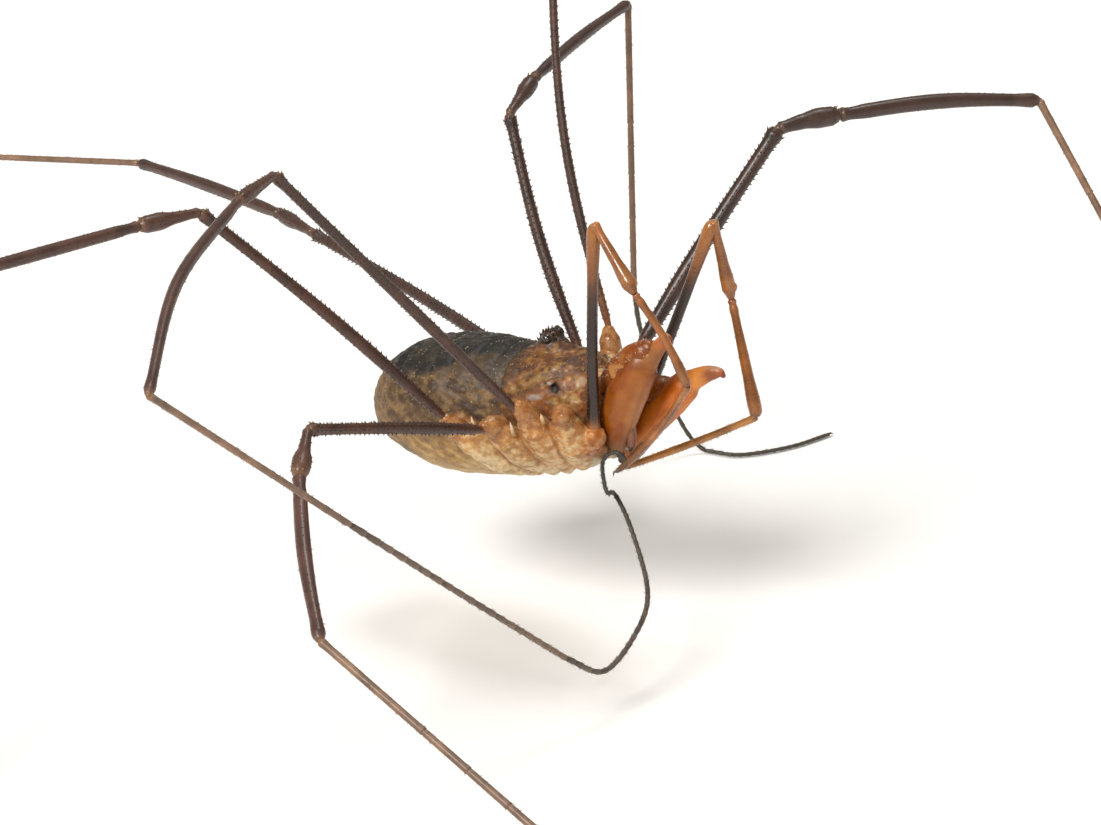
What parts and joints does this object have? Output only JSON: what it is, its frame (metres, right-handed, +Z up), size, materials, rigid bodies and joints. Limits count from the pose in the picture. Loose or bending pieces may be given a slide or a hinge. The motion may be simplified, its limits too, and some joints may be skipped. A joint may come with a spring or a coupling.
{
  "type": "harvestman",
  "caption": "Life-size still model of a male harvestman: oval body, horned jaws, long palps and very long thin legs, cleaning one leg at its mouth.",
  "frame": {"origin": "middle of the footprint on the floor, under the animal", "axes": "+X towards the head, +Y towards the animal's left, +Z up"},
  "size_m": [0.0556, 0.0414, 0.0196],
  "materials": {
    "carapace": "satin, granular",
    "abdomen": "leathery, mottled",
    "eye": "glossy",
    "trochanter": "satin",
    "jaw": "satin",
    "palp_dark": "glossy",
    "palp": "glossy",
    "leg_dark": "satin",
    "leg_tan": "satin",
    "foot": "satin"
  },
  "bodies": {
    "root": {"abdomen": "abdomen", "carapace": "carapace", "eye_left": "eye", "eye_right": "eye", "trochanter_left_1": "trochanter", "trochanter_left_2": "trochanter", "trochanter_left_3": "trochanter", "trochanter_left_4": "trochanter", "trochanter_right_1": "trochanter", "trochanter_right_2": "trochanter", "trochanter_right_3": "trochanter", "trochanter_right_4": "trochanter", "jaw_base_left": "jaw", "jaw_hand_left": "jaw", "palp_femur_left": "palp_dark", "palp_patella_left": "palp", "palp_tibia_left": "palp", "palp_tarsus_left": "palp", "jaw_base_right": "jaw", "jaw_hand_right": "jaw", "palp_femur_right": "palp_dark", "palp_patella_right": "palp", "palp_tibia_right": "palp", "palp_tarsus_right": "palp", "femur_left_1": "leg_dark", "patella_left_1": "leg_dark", "tibia_left_1": "leg_dark", "metatarsus_left_1": "leg_tan", "tarsus_left_1": "foot", "femur_left_2": "leg_dark", "patella_left_2": "leg_dark", "tibia_left_2": "leg_dark", "metatarsus_left_2": "leg_tan", "tarsus_left_2": "foot", "femur_left_3": "leg_dark", "patella_left_3": "leg_dark", "tibia_left_3": "leg_dark", "metatarsus_left_3": "leg_tan", "tarsus_left_3": "foot", "femur_left_4": "leg_dark", "patella_left_4": "leg_dark", "tibia_left_4": "leg_dark", "metatarsus_left_4": "leg_tan", "tarsus_left_4": "foot", "femur_right_2": "leg_dark", "patella_right_2": "leg_dark", "tibia_right_2": "leg_dark", "metatarsus_right_2": "leg_tan", "tarsus_upper_right_2": "foot", "tarsus_lower_right_2": "foot", "femur_right_3": "leg_dark", "patella_right_3": "leg_dark", "tibia_right_3": "leg_dark", "metatarsus_right_3": "leg_tan", "tarsus_right_3": "foot", "femur_right_4": "leg_dark", "patella_right_4": "leg_dark", "tibia_right_4": "leg_dark", "metatarsus_right_4": "leg_tan", "tarsus_right_4": "foot"}
  },
  "joints": []
}
